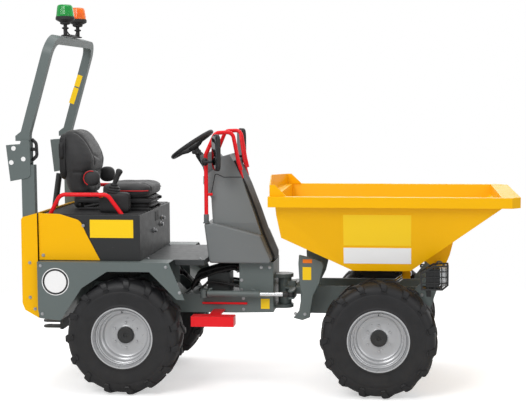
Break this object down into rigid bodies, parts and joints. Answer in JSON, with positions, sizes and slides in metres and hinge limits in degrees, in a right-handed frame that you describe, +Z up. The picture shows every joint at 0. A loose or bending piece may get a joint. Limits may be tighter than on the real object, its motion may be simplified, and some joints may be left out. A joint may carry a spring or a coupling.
{
  "type": "articulated site dumper",
  "caption": "Small articulated site dumper: front-tipping skip, rear driver's seat under a folding roll-over hoop, four lugged tyres and a jointed centre pivot.",
  "frame": {"origin": "middle of the bounding box on the floor the tyres stand on", "axes": "+X forward to the skip's lip, +Y to the driver's left, +Z up"},
  "size_m": [3.472, 1.2134, 2.672],
  "materials": {
    "grey_frame": "satin dark grey paint",
    "grey_panel": "satin grey paint",
    "yellow_paint": "gloss yellow paint",
    "red_paint": "gloss red paint",
    "black_cover": "satin black",
    "black_plastic": "grained black plastic",
    "seat_fabric": "black vinyl upholstery",
    "hose_rubber": "matt black rubber",
    "tyre_rubber": "matt black rubber",
    "rim_grey": "light grey paint",
    "engine_iron": "painted casting",
    "chrome_rod": "polished",
    "green_lens": "clear green plastic",
    "amber_lens": "clear amber plastic",
    "lamp_lens": "red lamp plastic"
  },
  "bodies": {
    "rear_frame": {"rear_chassis": "grey_frame", "mudguard_right": "grey_frame", "mudguard_left": "grey_frame", "rear_cap": "yellow_paint", "engine": "engine_iron", "seat_console": "black_cover", "side_covers": "yellow_paint", "footplate": "grey_frame", "dash_lower": "grey_frame", "dash_upper": "grey_panel", "steering_column": "black_plastic", "dash_rails": "red_paint", "grab_rails": "red_paint", "mirrors": "black_plastic", "seat_base": "black_plastic", "seat_cushion": "seat_fabric", "seat_back": "seat_fabric", "joystick_box": "black_plastic", "steps": "red_paint", "lock_bar": "red_paint", "tow_hitch": "grey_frame", "rear_lamps": "lamp_lens", "valve_block": "engine_iron", "hoses": "hose_rubber", "rops_posts": "grey_frame", "rear_axle": "grey_frame", "exhaust_pipe": "grey_frame"},
    "hoop": {"rops_hoop": "grey_frame", "beacon_bracket": "black_plastic", "beacon_green": "green_lens", "beacon_amber": "amber_lens"},
    "steering_wheel": {"steering_wheel": "black_plastic"},
    "centre_yoke": {"centre_yoke": "grey_frame"},
    "steer_barrel_right": {"steer_barrel_right": "grey_frame"},
    "steer_rod_right": {"steer_rod_right": "chrome_rod"},
    "steer_barrel_left": {"steer_barrel_left": "grey_frame"},
    "steer_rod_left": {"steer_rod_left": "chrome_rod"},
    "front_frame": {"front_chassis": "grey_frame", "front_towers": "grey_frame", "headlamps": "black_plastic", "front_axle": "grey_frame"},
    "skip": {"skip": "yellow_paint", "skip_guard": "yellow_paint", "skip_brackets": "yellow_paint"},
    "tip_barrel": {"tip_barrel": "grey_frame"},
    "tip_rod": {"tip_rod": "chrome_rod"},
    "wheel_rear_right": {"tyre_rear_right": "tyre_rubber", "rim_rear_right": "rim_grey"},
    "wheel_rear_left": {"tyre_rear_left": "tyre_rubber", "rim_rear_left": "rim_grey"},
    "wheel_front_right": {"tyre_front_right": "tyre_rubber", "rim_front_right": "rim_grey"},
    "wheel_front_left": {"tyre_front_left": "tyre_rubber", "rim_front_left": "rim_grey"}
  },
  "joints": [
    {"name": "centre_articulation", "type": "hinge", "parent": "rear_frame", "child": "centre_yoke", "pos_m": [0.108, 0, 0.64], "axis": [0, 0, 1], "range_deg": [-32, 32]},
    {"name": "axle_oscillation", "type": "hinge", "parent": "centre_yoke", "child": "front_frame", "pos_m": [0.26, 0, 0.653], "axis": [1, 0, 0], "range_deg": [-10, 10]},
    {"name": "skip_tip", "type": "hinge", "parent": "front_frame", "child": "skip", "pos_m": [1.21, 0, 0.876], "axis": [0, 1, 0], "range_deg": [0, 75]},
    {"name": "hoop_fold", "type": "hinge", "parent": "rear_frame", "child": "hoop", "pos_m": [-1.604, 0, 1.704], "axis": [0, 1, 0], "range_deg": [-95, 0]},
    {"name": "steering_wheel_turn", "type": "hinge", "parent": "rear_frame", "child": "steering_wheel", "pos_m": [-0.556, 0, 1.688], "axis": [-0.5592, 0, 0.829], "continuous": true},
    {"name": "steer_barrel_right_swing", "type": "hinge", "parent": "rear_frame", "child": "steer_barrel_right", "pos_m": [-0.44, -0.245, 0.65], "axis": [0, 0, 1], "range_deg": [-4, 4]},
    {"name": "steer_rod_right_slide", "type": "slide", "parent": "steer_barrel_right", "child": "steer_rod_right", "axis": [1, 0, 0], "range_m": [-0.14, 0.14]},
    {"name": "steer_barrel_left_swing", "type": "hinge", "parent": "rear_frame", "child": "steer_barrel_left", "pos_m": [-0.44, 0.245, 0.65], "axis": [0, 0, 1], "range_deg": [-4, 4]},
    {"name": "steer_rod_left_slide", "type": "slide", "parent": "steer_barrel_left", "child": "steer_rod_left", "axis": [1, 0, 0], "range_m": [-0.14, 0.14]},
    {"name": "tip_barrel_swing", "type": "hinge", "parent": "front_frame", "child": "tip_barrel", "pos_m": [0.5, 0, 0.418], "axis": [0, 1, 0], "range_deg": [-15, 1]},
    {"name": "tip_rod_slide", "type": "slide", "parent": "tip_barrel", "child": "tip_rod", "axis": [0.8122, 0, 0.5834], "range_m": [-0.005, 0.25]},
    {"name": "wheel_rear_right_spin", "type": "hinge", "parent": "rear_frame", "child": "wheel_rear_right", "pos_m": [-0.94, -0.47, 0.398], "axis": [0, 1, 0], "continuous": true},
    {"name": "wheel_rear_left_spin", "type": "hinge", "parent": "rear_frame", "child": "wheel_rear_left", "pos_m": [-0.94, 0.47, 0.398], "axis": [0, 1, 0], "continuous": true},
    {"name": "wheel_front_right_spin", "type": "hinge", "parent": "front_frame", "child": "wheel_front_right", "pos_m": [0.8, -0.47, 0.398], "axis": [0, 1, 0], "continuous": true},
    {"name": "wheel_front_left_spin", "type": "hinge", "parent": "front_frame", "child": "wheel_front_left", "pos_m": [0.8, 0.47, 0.398], "axis": [0, 1, 0], "continuous": true}
  ],
  "couplings": [
    {"joint": "steer_barrel_right_swing", "follows": "centre_articulation", "ratio": 0.09},
    {"joint": "steer_barrel_left_swing", "follows": "centre_articulation", "ratio": 0.09},
    {"joint": "steer_rod_right_slide", "follows": "centre_articulation", "m_per_rad": 0.235},
    {"joint": "steer_rod_left_slide", "follows": "centre_articulation", "m_per_rad": -0.235},
    {"joint": "tip_barrel_swing", "follows": "skip_tip", "ratio": -0.183},
    {"joint": "tip_rod_slide", "follows": "skip_tip", "m_per_rad": 0.186}
  ]
}
